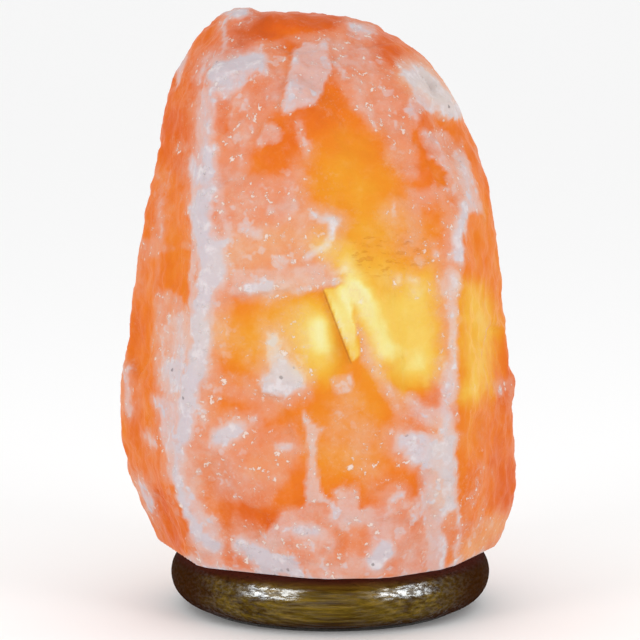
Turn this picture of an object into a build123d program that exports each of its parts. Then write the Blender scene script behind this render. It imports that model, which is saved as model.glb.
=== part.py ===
from build123d import *
from math import acos, atan2, cos, hypot, radians, sin
import os

# A rock salt lamp: a hewn, hollowed crystal on a turned wooden base, with a
# small screw lampholder clipped into the base from below. Millimetres, +Z up,
# origin on the table under the middle of the base, -Y is the front.

# ---------------------------------------------------------------- sizes ----
felt_thickness = 1.5
felt_inner_radius = 41.0
felt_outer_radius = 50.5

base_radius = 62.5
base_thickness = 23.0
base_bottom = felt_thickness
base_top = base_bottom + base_thickness
bore_radius = 21.0
recess_radius = 27.0
recess_depth = 8.0
groove_width = 9.0

screw_count = 3
screw_circle = 35.0
screw_radius = 2.0
screw_head_radius = 4.0
screw_length = 40.0
screw_sunk = 0.3
screw_clearance = 0.1
plug_radius = 4.0
plug_length = 18.0

block_size = 260.0
cavity_radius = 24.0
cavity_top = 136.0

shell_radius = 14.0
skirt_radius = 12.0
socket_radius = 7.8
holder_bottom = 14.0
cap_join = 28.0
shoulder_bottom = 44.0
shoulder_top = 48.0
holder_top = 69.0
wall = 2.5
flutes = 8
flute_radius = 1.0
flute_depth = 0.6
flute_length = 10.0
block_top = 47.0
nipple_radius = 5.0
nipple_bore = 3.5
nipple_bottom = 9.5
clip_thickness = 0.5
clip_width = 12.0
nut_thickness = 3.0

thread_pitch = 2.8
thread_radius = 6.9
bulb_bottom = 50.2
bulb_length = 57.0
bulb_radius = 12.5
glass_wall = 0.6
filament_height = 89.0
filament_radius = 6.5

plate_slope = 25.0
plate_clearance = 8.0  # how far outwards a plate is cut, well past the face

# Every face of the crystal is a cleavage plane that faces outwards at an
# azimuth (0 = right, 270 = front) and a tilt upwards, through the point at
# this reach from the axis and this height above the table.
left_flank = [
    (200, -22, 70.0, 40),
    (206, 1, 77.3, 80),
    (207, 7, 72.8, 130),
    (206, 12, 66.3, 170),
    (205, 25, 59.5, 202),
    (200, 47, 50.0, 222),
]
front_left = [
    (244, -13, 71.0, 40),
    (262, 2, 74.0, 80),
    (262, 11, 70.5, 150),
    (255, 17, 60.0, 195),
    (250, 44, 42.0, 221),
]
front_right = [
    (272, -11, 74.5, 40),
    (284, -1, 79.5, 80),
    (291, 12, 75.0, 115),
    (283, 17, 68.5, 150),
    (288, 24, 52.5, 195),
    (290, 50, 29.5, 221),
]
right_flank = [
    (306, -16, 73.5, 40),
    (334, -20, 69.0, 40),
    (338, 0, 70.6, 80),
    (340, 5, 66.4, 130),
    (335, 22, 57.5, 178),
    (330, 38, 43.5, 206),
    (8, -20, 69.5, 40),
    (10, 1, 71.0, 75),
    (6, 5, 65.6, 120),
    (4, 9, 61.0, 155),
    (0, 25, 51.5, 188),
    (0, 44, 37.6, 212),
    (350, 62, 21.0, 223),
]
back = [
    (40, -14, 63.0, 40),
    (48, 3, 66.0, 80),
    (60, 10, 60.0, 140),
    (45, 22, 48.0, 190),
    (60, 60, 20.0, 222),
    (75, -12, 60.0, 40),
    (88, -2, 62.0, 80),
    (100, 8, 56.0, 140),
    (90, 20, 46.0, 190),
    (110, -15, 58.0, 40),
    (145, -16, 61.5, 40),
    (128, 2, 66.0, 80),
    (166, -1, 77.5, 80),
    (168, 8, 70.5, 135),
    (140, 9, 62.0, 140),
    (165, 13, 63.0, 180),
    (135, 22, 52.0, 190),
    (172, 34, 55.5, 212),
    (120, 55, 26.0, 224),
]
crown = [(0, 86.5, 0.0, 229.6)]
cleavage = left_flank + front_left + front_right + right_flank + back + crown

# Knocked ridges: an edge longer and sharper than this loses a narrow strip.
ridge_length = 14.0
ridge_turn = 14.0
ridge_wear = 1.1

# Shell-shaped chips: azimuth and height of the middle, the chip's depth and
# the radius of the hollow that it leaves. They sit on the crystal's surface.
chips = [
    # the left edge of the outline, from the foot up
    (184, 62, 1.8, 30.0),
    (182, 108, 2.6, 34.0),
    (181, 158, 2.4, 30.0),
    (186, 206, 2.0, 20.0),
    # the right edge of the outline
    (355, 46, 1.6, 28.0),
    (2, 110, 1.8, 26.0),
    (357, 163, 2.4, 24.0),
    (352, 205, 1.6, 18.0),
    # the front, on and beside the two long ridges
    (236, 58, 1.8, 30.0),
    (240, 98, 2.2, 36.0),
    (239, 138, 1.8, 30.0),
    (236, 176, 2.0, 26.0),
    (262, 46, 1.6, 34.0),
    (281, 58, 2.0, 40.0),
    (300, 52, 1.6, 30.0),
    (315, 74, 1.8, 34.0),
    (318, 112, 1.6, 28.0),
    (318, 150, 2.2, 30.0),
    (322, 182, 3.2, 18.0),
    (272, 132, 1.6, 46.0),
    (258, 168, 1.6, 34.0),
    (280, 186, 2.0, 26.0),
    (264, 208, 2.2, 20.0),
    # the back and its ridges
    (20, 60, 1.8, 30.0),
    (26, 104, 2.0, 34.0),
    (38, 160, 2.2, 30.0),
    (66, 58, 1.8, 32.0),
    (74, 112, 2.2, 40.0),
    (70, 178, 2.2, 28.0),
    (102, 76, 2.0, 36.0),
    (116, 124, 2.0, 34.0),
    (112, 184, 2.2, 28.0),
    (148, 60, 1.8, 32.0),
    (152, 112, 2.2, 36.0),
    (154, 166, 2.0, 30.0),
]

# Knobs that the blows left standing: azimuth and height of the middle, how far
# the knob stands out and the radius of its round top.
knobs = [
    # the pale knob at the upper left of the front
    (223, 206, 1.6, 12.0),
    (231, 208, 2.4, 13.0),
    (239, 209, 1.8, 12.0),
    # the pale knob at the upper right
    (317, 204, 2.0, 13.0),
    (327, 199, 2.6, 13.0),
    # the lower front
    (258, 40, 1.4, 34.0),
    (292, 76, 1.2, 34.0),
    # the right flank and the back
    (356, 88, 1.6, 22.0),
    (96, 120, 1.5, 30.0),
]

# Plates that have split off at a slant and left a flat hollow with a crisp edge:
# azimuth and height of the middle, the depth there, how far the hollow leans out
# at the top and in at the right (degrees), and its corners about the middle, to
# the right and up as seen from outside.
plates = [
    # the hollow faces that the bulb lights up
    (254, 114, 1.2, -3, -2, [(-25, 13), (-12, 16), (9, 18), (26, -4), (20, -17), (-5, -19), (-23, -15)]),
    (290, 124, 1.2, -1, 3, [(-21, 17), (-10, 25), (11, 27), (18, 15), (14, -28), (-1, -29), (-14, -4)]),
    # the upper front
    (286, 200, 0.9, 2, -3, [(-13, 18), (2, 21), (11, 16), (14, -12), (-4, -19), (-14, -5)]),
    (256, 174, 0.8, -3, 2, [(-18, 13), (3, 19), (18, 9), (21, -13), (3, -17), (-19, -11)]),
    # the recess under the knob at the upper right
    (312, 190, 2.2, 3, 4, [(-9, 4), (0, 7), (8, 5), (11, -3), (-3, -5)]),
    # the lower front
    (247, 74, 0.9, -4, -2, [(-16, 16), (2, 21), (14, 17), (18, -3), (9, -20), (-13, -15)]),
    (285, 50, 0.9, -3, 2, [(-20, 14), (-6, 18), (5, 14), (20, 4), (17, -14), (-16, -16)]),
    # the left flank
    (219, 137, 1.3, 2, 4, [(-11, 8), (-2, 13), (9, 11), (12, -12), (-2, -12)]),
    (209, 38, 1.3, -4, 3, [(-11, 8), (0, 13), (11, 10), (13, -8), (-5, -8)]),
    (198, 118, 0.8, 3, -4, [(-12, 20), (-1, 27), (9, 16), (13, -12), (1, -25), (-9, -20)]),
    # the right flank
    (334, 92, 0.9, -3, -4, [(-14, 12), (-3, 22), (11, 19), (15, -9), (4, -21), (-9, -17)]),
    (8, 142, 0.8, 4, 3, [(-13, 14), (1, 20), (10, 12), (13, -13), (-1, -22), (-15, -9)]),
    (12, 72, 0.9, -4, 4, [(-17, 10), (-5, 20), (13, 15), (19, -6), (3, -16), (-12, -13)]),
    # the back
    (50, 84, 1.0, 4, -4, [(-17, 15), (2, 21), (14, 10), (17, -13), (-1, -20), (-14, -12)]),
    (68, 150, 0.9, -4, -3, [(-18, 8), (-4, 20), (12, 16), (18, -7), (4, -18), (-12, -13)]),
    (92, 46, 0.9, -4, 3, [(-21, 7), (-6, 16), (15, 11), (20, -8), (2, -13), (-16, -10)]),
    (130, 60, 0.9, 4, 3, [(-15, 11), (0, 17), (15, 9), (13, -12), (-2, -17), (-17, -6)]),
    (166, 90, 0.9, -3, 4, [(-18, 13), (-2, 24), (14, 18), (18, -12), (2, -24), (-14, -17)]),
    (162, 148, 0.8, 3, -4, [(-15, 10), (-1, 19), (15, 12), (13, -13), (-4, -19), (-17, -8)]),
]

# Steps where a slab has split off square: azimuth and height of the middle,
# the depth, the width and height of the slab, and its turn about the face.
steps = [
    (183, 174, 1.8, 26.0, 15.0, 4),
    (182, 92, 1.6, 22.0, 22.0, -6),
    (246, 222, 2.4, 26.0, 11.0, -8),
    (302, 224, 2.0, 18.0, 14.0, 10),
    (268, 204, 1.2, 24.0, 15.0, -24),
    (262, 114, 0.9, 36.0, 27.0, 6),
    (286, 116, 1.0, 28.0, 46.0, 20),
    (322, 205, 1.6, 16.0, 12.0, 30),
    (348, 128, 1.4, 14.0, 30.0, 4),
    (40, 112, 1.5, 22.0, 28.0, 8),
    (82, 150, 1.8, 34.0, 22.0, 15),
    (122, 92, 1.6, 28.0, 30.0, -10),
    (150, 190, 2.0, 24.0, 16.0, 12),
    (60, 206, 2.0, 24.0, 14.0, -14),
]


def face_plane(azimuth, tilt, reach, height):
    """The plane of one cleavage face, with its normal pointing out of the crystal."""
    a = radians(azimuth)
    t = radians(tilt)
    outwards = (cos(t) * cos(a), cos(t) * sin(a), sin(t))
    return Plane(origin=(reach * cos(a), reach * sin(a), height), z_dir=outwards)


def reach_along(azimuth, height):
    """How far the hewn block reaches from the axis, and which face ends it there."""
    ray = Vector(cos(radians(azimuth)), sin(radians(azimuth)), 0)
    start = Vector(0, 0, height)
    hits = []
    for face in cleavage:
        plane = face_plane(*face)
        facing = ray.dot(plane.z_dir)
        if facing > 0:
            hits.append(((plane.origin - start).dot(plane.z_dir) / facing, plane.z_dir))
    reach, outwards = min(hits, key=lambda hit: hit[0])
    return start + ray * reach, outwards


def on_surface(azimuth, height):
    """The plane that lies on the hewn block here: X to the right as seen from outside, normal outwards."""
    point, outwards = reach_along(azimuth, height)
    level = Vector(-sin(radians(azimuth)), cos(radians(azimuth)), 0)
    return Plane(origin=point, x_dir=level, z_dir=outwards)


def screw_places():
    """The three screws' places, clear of the groove at the back."""
    return PolarLocations(screw_circle, screw_count, start_angle=30)


# ---------------------------------------------------------- salt crystal ----
with BuildPart() as salt_crystal:
    with Locations((0, 0, base_top)):
        Box(block_size, block_size, block_size, align=(Align.CENTER, Align.CENTER, Align.MIN))
    for face in cleavage:
        split(bisect_by=face_plane(*face), keep=Keep.BOTTOM)

    # the long sharp ridges are knocked off by planes that lean half way between their two faces
    ridges = []
    for edge in salt_crystal.edges().filter_by(lambda e: e.length > ridge_length):
        sides = [f.normal_at() for f in salt_crystal.faces() if edge in f.edges()]
        middle = edge.center()
        if len(sides) == 2 and middle.Z > base_top + 1 and sides[0].get_angle(sides[1]) > ridge_turn:
            outwards = (sides[0] + sides[1]).normalized()
            ridges.append(Plane(origin=middle - outwards * ridge_wear, z_dir=outwards))
    for ridge in ridges:
        split(bisect_by=ridge, keep=Keep.BOTTOM)

    # knobs
    for azimuth, height, rise, radius in knobs:
        with Locations(on_surface(azimuth, height).offset(rise - radius)):
            Sphere(radius)
    split(bisect_by=Plane.XY.offset(base_top), keep=Keep.TOP)

    # chips
    for azimuth, height, depth, radius in chips:
        with Locations(on_surface(azimuth, height).offset(radius - depth)):
            Sphere(radius, mode=Mode.SUBTRACT)

    # plates
    for azimuth, height, depth, lean_top, lean_right, corners in plates:
        with BuildSketch(on_surface(azimuth, height).offset(-depth).rotated((lean_top, lean_right, 0))):
            Polygon(*corners, align=None)
        extrude(amount=plate_clearance, taper=-plate_slope, mode=Mode.SUBTRACT)

    # steps
    for azimuth, height, depth, wide, tall, turn in steps:
        with Locations(on_surface(azimuth, height).rotated((0, 0, turn))):
            Box(wide, tall, 2 * depth, mode=Mode.SUBTRACT)

    # the lamp's cavity is bored from below and ends in a dome
    with BuildSketch(Plane.XZ):
        with BuildLine():
            dome_start = cavity_top - cavity_radius
            Line((0, base_top - 1), (cavity_radius, base_top - 1))
            Line((cavity_radius, base_top - 1), (cavity_radius, dome_start))
            RadiusArc((cavity_radius, dome_start), (0, cavity_top), -cavity_radius)
            Line((0, cavity_top), (0, base_top - 1))
        make_face()
    revolve(axis=Axis.Z, mode=Mode.SUBTRACT)

    # blind holes for the three plugs
    with BuildSketch(Plane.XY.offset(base_top)):
        with screw_places():
            Circle(plug_radius)
    extrude(amount=plug_length + 2, mode=Mode.SUBTRACT)

# ----------------------------------------------------------- wooden base ----
edge_radius = base_thickness / 2
flat_radius = base_radius - edge_radius
base_middle = base_bottom + edge_radius
with BuildPart() as wooden_base:
    with BuildSketch(Plane.XZ):
        with BuildLine():
            Line((bore_radius, base_bottom), (flat_radius, base_bottom))
            RadiusArc((flat_radius, base_bottom), (base_radius, base_middle), -edge_radius)
            RadiusArc((base_radius, base_middle), (flat_radius, base_top), -edge_radius)
            Line((flat_radius, base_top), (bore_radius, base_top))
            Line((bore_radius, base_top), (bore_radius, base_bottom))
        make_face()
    revolve(axis=Axis.Z)
    # recess for the lampholder's end, and the groove that leads the cord out at the back
    with BuildSketch(Plane.XY.offset(base_bottom)):
        Circle(recess_radius)
        with Locations((0, base_radius / 2)):
            Rectangle(groove_width, base_radius)
    extrude(amount=recess_depth, mode=Mode.SUBTRACT)
    with Locations(Plane(origin=(0, 0, base_bottom), x_dir=(1, 0, 0), z_dir=(0, 0, -1))):
        with PolarLocations(screw_circle, screw_count, start_angle=-30):
            CounterSinkHole(
                screw_radius + screw_clearance,
                screw_head_radius + screw_sunk,
                counter_sink_angle=90,
            )

# ------------------------------------------------------------- felt ring ----
with BuildPart() as felt_ring:
    with BuildSketch():
        Circle(felt_outer_radius)
        Circle(felt_inner_radius, mode=Mode.SUBTRACT)
        with Locations((0, base_radius / 2)):
            Rectangle(groove_width, base_radius, mode=Mode.SUBTRACT)
    extrude(amount=felt_thickness)

# -------------------------------------------------- screws and wall plugs ----
with BuildPart() as base_screws:
    head_face = base_bottom + screw_sunk
    shank_start = head_face + screw_head_radius - screw_radius
    taper_start = head_face + screw_length - 6
    tip = head_face + screw_length
    with BuildSketch(Plane.XZ):
        with BuildLine():
            Polyline(
                (0, head_face),
                (screw_head_radius, head_face),
                (screw_radius, shank_start),
                (screw_radius, taper_start),
                (0.4, tip),
                (0, tip),
                close=True,
            )
        make_face()
    revolve(axis=Axis.Z)
    # cross recess in the head
    with BuildSketch(Plane.XY.offset(head_face)):
        Rectangle(4.4, 1.0)
        Rectangle(1.0, 4.4)
    extrude(amount=1.4, mode=Mode.SUBTRACT)
one_screw = base_screws.part
with BuildPart() as base_screws:
    with screw_places():
        add(one_screw)

with BuildPart() as wall_plugs:
    ribs = 2
    core_radius = plug_radius - 0.5
    slit_width = 0.8
    rib_pitch = plug_length / ribs
    with BuildSketch(Plane.XZ):
        with BuildLine():
            outline = [(screw_radius, base_top)]
            for rib in range(ribs):
                foot = base_top + rib * rib_pitch
                outline += [(plug_radius, foot), (core_radius, foot + rib_pitch)]
            outline.append((screw_radius, base_top + plug_length))
            Polyline(*outline, close=True)
        make_face()
    revolve(axis=Axis.Z)
    # the slit that lets the plug spread
    with BuildSketch(Plane.XY.offset(base_top + rib_pitch)):
        Rectangle(2 * plug_radius, slit_width)
    extrude(amount=plug_length, mode=Mode.SUBTRACT)
one_plug = wall_plugs.part
with BuildPart() as wall_plugs:
    with screw_places():
        add(one_plug)

# ------------------------------------------------------------ lampholder ----
with BuildPart() as holder_shell:
    with BuildSketch(Plane.XZ):
        with BuildLine():
            Polyline(
                (shell_radius - wall, cap_join),
                (shell_radius, cap_join),
                (shell_radius, shoulder_bottom),
                (skirt_radius, shoulder_top),
                (skirt_radius, holder_top),
                (socket_radius, holder_top),
                (socket_radius, block_top),
                (shell_radius - wall, block_top),
                close=True,
            )
        make_face()
    revolve(axis=Axis.Z)
    # grip flutes round the lower body
    with PolarLocations(shell_radius + flute_radius - flute_depth, flutes):
        with Locations((0, 0, cap_join + 3)):
            Cylinder(
                flute_radius,
                flute_length,
                align=(Align.CENTER, Align.CENTER, Align.MIN),
                mode=Mode.SUBTRACT,
            )
    rim = holder_shell.edges().filter_by(GeomType.CIRCLE).group_by(Axis.Z)[-1].sort_by(SortBy.RADIUS)
    chamfer(rim[-1], 1.0)

with BuildPart() as holder_cap:
    with BuildSketch(Plane.XZ):
        with BuildLine():
            cap_floor = holder_bottom + wall
            inner = shell_radius - wall
            Polyline(
                (nipple_radius, holder_bottom),
                (shell_radius - 5.5, holder_bottom),
                (shell_radius - 1.5, holder_bottom + 3.0),
                (shell_radius, holder_bottom + 7.5),
                (shell_radius, cap_join),
                (inner, cap_join),
                (inner, holder_bottom + 8.0),
                (inner - 1.2, holder_bottom + 4.6),
                (inner - 4.0, cap_floor),
                (nipple_radius, cap_floor),
                close=True,
            )
        make_face()
    revolve(axis=Axis.Z)

block_radius = shell_radius - wall
block_bottom = 31.0
terminal_offset = 6.5
terminal_height = block_bottom + 5.0
terminal_radius = 1.5
terminal_sunk = 3.6
terminal_length = 4.4
terminals = [(-terminal_offset, terminal_height), (terminal_offset, terminal_height)]
with BuildPart() as contact_block:
    with Locations((0, 0, block_bottom)):
        Cylinder(block_radius, block_top - block_bottom, align=(Align.CENTER, Align.CENTER, Align.MIN))
    # two ways for the conductors, each beside a terminal, and the seats of the terminal screws
    with BuildSketch(Plane.XY.offset(block_bottom)):
        with Locations((-terminal_offset, -3), (terminal_offset, -3)):
            Rectangle(4.0, 7.0)
    extrude(amount=9, mode=Mode.SUBTRACT)
    with BuildSketch(Plane.XZ.offset(block_radius)):
        with Locations(*terminals):
            Circle(terminal_radius)
    extrude(amount=-terminal_sunk - terminal_length, mode=Mode.SUBTRACT)

with BuildPart() as terminal_screws:
    with BuildSketch(Plane.XZ.offset(block_radius - terminal_sunk)):
        with Locations(*terminals):
            Circle(terminal_radius)
    extrude(amount=-terminal_length)
    # the slot for the screwdriver
    with BuildSketch(Plane.XZ.offset(block_radius - terminal_sunk)):
        with Locations(*terminals):
            Rectangle(2 * terminal_radius + 0.2, 0.6)
    extrude(amount=-0.8, mode=Mode.SUBTRACT)

shell_wall = 0.4
contact_hole = 2.5
with BuildPart() as screw_shell:
    with BuildSketch(Plane.XZ):
        with BuildLine():
            Polyline(
                (contact_hole, block_top),
                (socket_radius, block_top),
                (socket_radius, holder_top - 1),
                (socket_radius - shell_wall, holder_top - 1),
                (socket_radius - shell_wall, block_top + shell_wall),
                (contact_hole, block_top + shell_wall),
                close=True,
            )
        make_face()
    revolve(axis=Axis.Z)

with BuildPart() as centre_contact:
    # a strip bent up from the block into a sprung tongue under the bulb's tip
    with BuildSketch(Plane.XZ):
        with BuildLine():
            FilletPolyline(
                (-2.0, block_top + 0.25),
                (1.6, block_top + 0.25),
                (-1.2, bulb_bottom - 0.55),
                (1.4, bulb_bottom - 0.55),
                radius=0.35,
            )
        trace(line_width=0.5)
    extrude(amount=1.5, both=True)

# ------------------------------------------- clip, nipple and nut below ----
clip_top = holder_bottom
wing_peak = 19.5
with BuildPart() as spring_clip:
    with BuildSketch(Plane.XZ):
        with BuildLine():
            level = clip_top - clip_thickness / 2
            FilletPolyline(
                (-wing_peak + 1.2, level + 15.0),
                (-wing_peak, level + 10.5),
                (-wing_peak + 3.0, level),
                (wing_peak - 3.0, level),
                (wing_peak, level + 10.5),
                (wing_peak - 1.2, level + 15.0),
                radius=1.5,
            )
        trace(line_width=clip_thickness)
    extrude(amount=clip_width / 2, both=True)
    with BuildSketch(Plane.XY.offset(clip_top + 1)):
        Circle(nipple_radius)
    extrude(amount=-3, mode=Mode.SUBTRACT)

with BuildPart() as threaded_nipple:
    with BuildSketch(Plane.XY.offset(nipple_bottom)):
        Circle(nipple_radius)
        Circle(nipple_bore, mode=Mode.SUBTRACT)
    extrude(amount=cap_floor + 2.5 - nipple_bottom)
    ends = threaded_nipple.edges().filter_by(GeomType.CIRCLE).sort_by(SortBy.RADIUS)[-2:]
    chamfer(ends, 0.5)

nut_across_flats = 14.0
with BuildPart() as nipple_nut:
    with BuildSketch(Plane.XY.offset(clip_top - clip_thickness - nut_thickness)):
        RegularPolygon(nut_across_flats / 2, 6, major_radius=False)
        Circle(nipple_radius, mode=Mode.SUBTRACT)
    extrude(amount=nut_thickness)

# ------------------------------------------------------------------ bulb ----
insulator_bottom = bulb_bottom + 1.0
cap_bottom = insulator_bottom + 3.0
cap_top = bulb_bottom + 17.0
thread_root = thread_radius - 0.7
collar_radius = 7.1
collar_depth = 2.2
lead_hole = 1.5
cap_inside = thread_root - shell_wall
neck_radius = collar_radius - shell_wall
bulb_top = bulb_bottom + bulb_length
head_centre = bulb_top - bulb_radius

with BuildPart() as cap_contact:
    with BuildSketch(Plane.XZ):
        with BuildLine():
            Line((0, bulb_bottom), (1.2, bulb_bottom))
            ThreePointArc((1.2, bulb_bottom), (2.1, bulb_bottom + 0.35), (2.4, insulator_bottom))
            Line((2.4, insulator_bottom), (0, insulator_bottom))
            Line((0, insulator_bottom), (0, bulb_bottom))
        make_face()
    revolve(axis=Axis.Z)

with BuildPart() as cap_insulator:
    with BuildSketch(Plane.XZ):
        with BuildLine():
            Polyline(
                (0, insulator_bottom),
                (3.0, insulator_bottom),
                (thread_root, cap_bottom),
                (0, cap_bottom),
                close=True,
            )
        make_face()
    revolve(axis=Axis.Z)

with BuildPart() as bulb_cap:
    # the rolled thread is drawn as rings of the same pitch
    rings = 3
    with BuildSketch(Plane.XZ):
        with BuildLine():
            # the shell's foot is rolled in over the insulator and leaves a small hole for the lead
            points = [(cap_inside, cap_bottom + shell_wall), (lead_hole, cap_bottom + shell_wall)]
            points += [(lead_hole, cap_bottom), (thread_root, cap_bottom)]
            for ring in range(rings):
                foot = cap_bottom + 0.8 + ring * thread_pitch
                points += [(thread_radius, foot + thread_pitch / 2), (thread_root, foot + thread_pitch)]
            points += [(collar_radius, cap_top - 0.8), (collar_radius, cap_top)]
            points += [(neck_radius, cap_top), (cap_inside, cap_top - collar_depth)]
            Polyline(*points, close=True)
        make_face()
    revolve(axis=Axis.Z)

neck_bottom = cap_top - collar_depth


def pear(inset, foot):
    """The closed half outline of the bulb, this far inside its outer face: a cone that ends in a ball."""
    neck = neck_radius - inset
    head = bulb_radius - inset
    top = bulb_top - inset
    # the cone's side touches the ball where the ball's radius stands square on it
    drop = head_centre - cap_top
    touch = acos(head / hypot(neck, drop)) - atan2(drop, neck)
    seam = (head * cos(touch), head_centre + head * sin(touch))
    Polyline((0, top), (0, foot), (cap_inside - inset, foot), (neck, cap_top), seam)
    RadiusArc(seam, (0, top), -head)


with BuildPart() as bulb_glass:
    with BuildSketch(Plane.XZ):
        with BuildLine():
            pear(0, neck_bottom)
        make_face()
    revolve(axis=Axis.Z)
    with BuildSketch(Plane.XZ):
        with BuildLine():
            pear(glass_wall, neck_bottom - 1)
        make_face()
    revolve(axis=Axis.Z, mode=Mode.SUBTRACT)

stem_top = 82.0
with BuildPart() as glass_stem:
    with BuildSketch(Plane.XZ):
        with BuildLine():
            Polyline(
                (0, cap_top - 0.5),
                (neck_radius - 1.4, cap_top - 0.5),
                (2.6, cap_top + 2.5),
                (1.6, cap_top + 6),
                (1.6, stem_top - 1.6),
                (0, stem_top),
                close=True,
            )
        make_face()
    revolve(axis=Axis.Z)

wire_radius = 0.3
wire_foot = cap_top + 8.0
filament_wire = 0.35


def wire(points, radius):
    """A round wire of one thickness along straight runs."""
    with BuildPart(mode=Mode.PRIVATE) as one_wire:
        with BuildLine():
            route = Polyline(*points)
        with BuildSketch(Plane(origin=route @ 0, z_dir=route % 0)):
            Circle(radius)
        sweep(path=route, transition=Transition.RIGHT)
    return one_wire.part


lead_points = [
    (1.5, 0, wire_foot),
    (filament_radius, 0, wire_foot + 9),
    (filament_radius, 0, filament_height - filament_wire),
]
one_lead = wire(lead_points, wire_radius)
with BuildPart() as lead_wires:
    with PolarLocations(0, 2):
        add(one_lead)

support_points = [
    (0, 1.0, stem_top - 3.0),
    (0, filament_radius, filament_height - 2.0),
    (0, filament_radius, filament_height - filament_wire),
]
one_support = wire(support_points, 0.15)
with BuildPart() as filament_supports:
    with PolarLocations(0, 2):
        add(one_support)

# the filament runs round from one lead to the other and back by way of the supports, in short chords
chords = 12
filament_points = []
for chord in range(chords):
    turn = radians(360 * chord / chords)
    filament_points.append((filament_radius * cos(turn), filament_radius * sin(turn), filament_height))
with BuildPart() as filament:
    add(wire(filament_points, filament_wire))

# ----------------------------------------------------------------- files ----
pieces = {
    "salt_crystal": salt_crystal,
    "wooden_base": wooden_base,
    "felt_ring": felt_ring,
    "base_screws": base_screws,
    "wall_plugs": wall_plugs,
    "holder_shell": holder_shell,
    "holder_cap": holder_cap,
    "contact_block": contact_block,
    "screw_shell": screw_shell,
    "centre_contact": centre_contact,
    "terminal_screws": terminal_screws,
    "spring_clip": spring_clip,
    "threaded_nipple": threaded_nipple,
    "nipple_nut": nipple_nut,
    "bulb_glass": bulb_glass,
    "bulb_cap": bulb_cap,
    "cap_insulator": cap_insulator,
    "cap_contact": cap_contact,
    "glass_stem": glass_stem,
    "lead_wires": lead_wires,
    "filament": filament,
    "filament_supports": filament_supports,
}
os.makedirs("parts", exist_ok=True)
for name, piece in pieces.items():
    piece.part.label = name
    export_step(piece.part, f"parts/{name}.step")
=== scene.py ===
import bpy
import math
import numpy as np
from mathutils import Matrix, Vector, noise


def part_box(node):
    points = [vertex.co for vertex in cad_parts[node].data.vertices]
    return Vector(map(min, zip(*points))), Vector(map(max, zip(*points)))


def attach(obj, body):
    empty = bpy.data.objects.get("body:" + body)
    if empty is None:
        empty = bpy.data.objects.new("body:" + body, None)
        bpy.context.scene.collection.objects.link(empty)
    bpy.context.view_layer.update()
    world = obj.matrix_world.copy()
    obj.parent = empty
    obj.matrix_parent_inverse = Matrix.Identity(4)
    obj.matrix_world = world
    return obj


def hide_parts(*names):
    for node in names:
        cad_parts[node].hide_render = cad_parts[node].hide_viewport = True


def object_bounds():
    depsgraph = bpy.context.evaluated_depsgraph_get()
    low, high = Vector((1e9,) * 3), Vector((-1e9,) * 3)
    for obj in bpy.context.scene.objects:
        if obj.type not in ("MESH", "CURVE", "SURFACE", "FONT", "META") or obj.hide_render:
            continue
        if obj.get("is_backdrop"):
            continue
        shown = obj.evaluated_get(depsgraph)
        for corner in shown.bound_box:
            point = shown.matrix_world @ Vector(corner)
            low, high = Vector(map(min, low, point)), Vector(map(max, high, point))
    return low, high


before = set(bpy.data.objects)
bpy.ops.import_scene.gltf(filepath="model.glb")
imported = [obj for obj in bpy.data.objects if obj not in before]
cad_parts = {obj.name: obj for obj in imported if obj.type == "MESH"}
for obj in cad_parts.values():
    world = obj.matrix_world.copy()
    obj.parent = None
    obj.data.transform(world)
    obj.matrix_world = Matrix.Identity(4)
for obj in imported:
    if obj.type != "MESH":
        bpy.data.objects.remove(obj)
cad_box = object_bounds()

# ------------------------------------------------------------ the view ----
# The photograph's own camera, found from the ellipse of the base and the
# outline of the crystal: a long lens a little over a metre away.
photo_width = 640
photo_focal = 2848.0
camera_place = (-0.00402, -1.100, 0.2516)
camera_dip = math.radians(7.24)
sensor_width = 36.0

camera_data = bpy.data.cameras.new("view_camera")
camera_data.sensor_width = sensor_width
camera_data.lens = photo_focal / photo_width * sensor_width
camera = bpy.data.objects.new("view_camera", camera_data)
camera.location = camera_place
camera.rotation_euler = (math.pi / 2 - camera_dip, 0, 0)
bpy.context.scene.collection.objects.link(camera)
bpy.context.scene.camera = camera


# -------------------------------------------------------- salt crystal ----
# A block of rock salt, split and hewn with a hammer and bored out from below.
# The clear orange salt is bruised white and pink along every ridge and where
# a blow landed, and the bulb inside lights it from deep red to pale yellow.
def only(thing):
    """Select one object alone and make it the active one."""
    bpy.ops.object.select_all(action="DESELECT")
    thing.hide_viewport = False
    thing.select_set(True)
    bpy.context.view_layer.objects.active = thing


def finish_with(thing, kind, **settings):
    """Give an object a modifier with these settings and apply it."""
    only(thing)
    modifier = thing.modifiers.new(kind.lower(), kind)
    for name, value in settings.items():
        setattr(modifier, name, value)
    bpy.ops.object.modifier_apply(modifier=modifier.name)


def own_copy(node, name):
    """A copy of a CAD node's mesh as a piece of its own, merged so that its faces join."""
    piece = bpy.data.objects.new(name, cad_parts[node].data.copy())
    bpy.context.scene.collection.objects.link(piece)
    only(piece)
    bpy.ops.object.mode_set(mode="EDIT")
    bpy.ops.mesh.select_all(action="SELECT")
    bpy.ops.mesh.remove_doubles(threshold=1e-6)
    bpy.ops.object.mode_set(mode="OBJECT")
    return piece


def points_of(piece):
    """The places and outward directions of a mesh's points."""
    count = len(piece.data.vertices)
    place, out = np.empty(count * 3), np.empty(count * 3)
    piece.data.vertices.foreach_get("co", place)
    piece.data.vertices.foreach_get("normal", out)
    return place.reshape(-1, 3), out.reshape(-1, 3)


def in_photo(place):
    """Where points of the object fall in the photograph, in its pixels."""
    away = place - np.array(camera_place)
    sine, cosine = math.sin(camera_dip), math.cos(camera_dip)
    depth = away[:, 1] * cosine - away[:, 2] * sine
    up = away[:, 2] * cosine + away[:, 1] * sine
    middle = photo_width / 2
    return np.stack([middle + photo_focal * away[:, 0] / depth, middle - photo_focal * up / depth], axis=1)


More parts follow.
